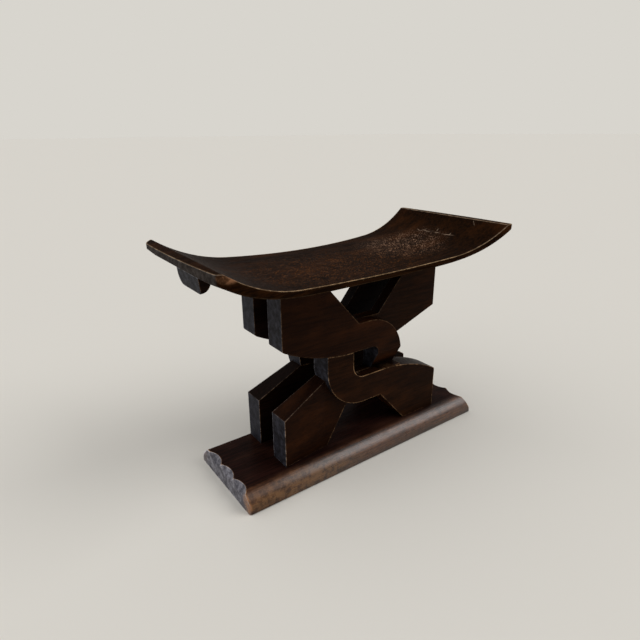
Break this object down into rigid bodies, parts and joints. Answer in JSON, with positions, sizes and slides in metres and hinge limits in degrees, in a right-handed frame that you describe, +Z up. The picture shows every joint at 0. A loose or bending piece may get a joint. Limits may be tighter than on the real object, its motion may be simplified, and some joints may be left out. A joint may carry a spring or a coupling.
{
  "type": "ashanti stool",
  "caption": "Low stool with a bowed rectangular seat carried on a flat base by two upright layers of straps knotted over and under each other.",
  "frame": {"origin": "on the floor under the middle of the seat; the base's middle is 19 mm to the right of it", "axes": "+X along the seat to the right, +Y from the front layer to the back layer, +Z up"},
  "size_m": [0.5612, 0.2635, 0.392],
  "materials": {
    "dark_wood": "oiled and worn"
  },
  "bodies": {
    "root": {"seat": "dark_wood", "base": "dark_wood", "front_left_strap": "dark_wood", "front_right_strap": "dark_wood", "back_left_strap": "dark_wood", "back_right_strap": "dark_wood", "left_seat_lug": "dark_wood", "right_seat_lug": "dark_wood"}
  },
  "joints": []
}
